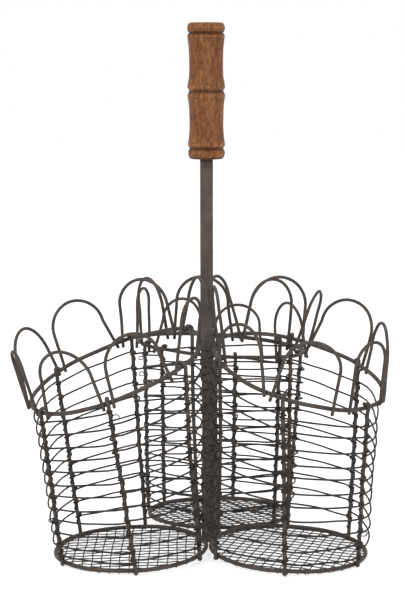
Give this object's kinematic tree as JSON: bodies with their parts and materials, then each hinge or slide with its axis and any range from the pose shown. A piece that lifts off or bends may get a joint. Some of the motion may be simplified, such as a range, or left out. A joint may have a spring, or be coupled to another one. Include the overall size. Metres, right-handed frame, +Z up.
{
  "type": "metal basket",
  "caption": "Round wire baskets with hairpin loop rims, tied round an upright bar with a turned wooden handle, for carrying and holding things at table.",
  "frame": {"origin": "on the floor under the upright bar, at the foot of the bar", "axes": "+Z up along the bar and the handle, -Y to the front between two of the baskets, +X to the viewer's right"},
  "size_m": [0.2763, 0.2712, 0.3948],
  "materials": {
    "dark_metal": "matte dark brown-grey iron wire",
    "thin_wire": "matte dark thin binding wire",
    "handle_wood": "satin brown stain"
  },
  "bodies": {
    "root": {"wooden_handle": "handle_wood", "centre_bar": "dark_metal", "lashing_wire": "thin_wire", "back_base_ring": "dark_metal", "back_rim_ring": "dark_metal", "back_floor_mesh": "thin_wire", "back_weave_wire": "thin_wire", "back_upright_1": "dark_metal", "back_upright_2": "dark_metal", "back_upright_3": "dark_metal", "back_upright_4": "dark_metal", "back_upright_5": "dark_metal", "back_upright_6": "dark_metal", "back_loop_1": "dark_metal", "back_loop_2": "dark_metal", "back_loop_3": "dark_metal", "back_loop_4": "dark_metal", "back_loop_5": "dark_metal", "back_loop_6": "dark_metal", "back_loop_7": "dark_metal", "back_loop_8": "dark_metal", "left_base_ring": "dark_metal", "left_rim_ring": "dark_metal", "left_floor_mesh": "thin_wire", "left_weave_wire": "thin_wire", "left_upright_1": "dark_metal", "left_upright_2": "dark_metal", "left_upright_3": "dark_metal", "left_upright_4": "dark_metal", "left_upright_5": "dark_metal", "left_upright_6": "dark_metal", "left_loop_1": "dark_metal", "left_loop_2": "dark_metal", "left_loop_3": "dark_metal", "left_loop_4": "dark_metal", "left_loop_5": "dark_metal", "left_loop_6": "dark_metal", "left_loop_7": "dark_metal", "left_loop_8": "dark_metal", "right_base_ring": "dark_metal", "right_rim_ring": "dark_metal", "right_floor_mesh": "thin_wire", "right_weave_wire": "thin_wire", "right_upright_1": "dark_metal", "right_upright_2": "dark_metal", "right_upright_3": "dark_metal", "right_upright_4": "dark_metal", "right_upright_5": "dark_metal", "right_upright_6": "dark_metal", "right_loop_1": "dark_metal", "right_loop_2": "dark_metal", "right_loop_3": "dark_metal", "right_loop_4": "dark_metal", "right_loop_5": "dark_metal", "right_loop_6": "dark_metal", "right_loop_7": "dark_metal", "right_loop_8": "dark_metal"}
  },
  "joints": []
}
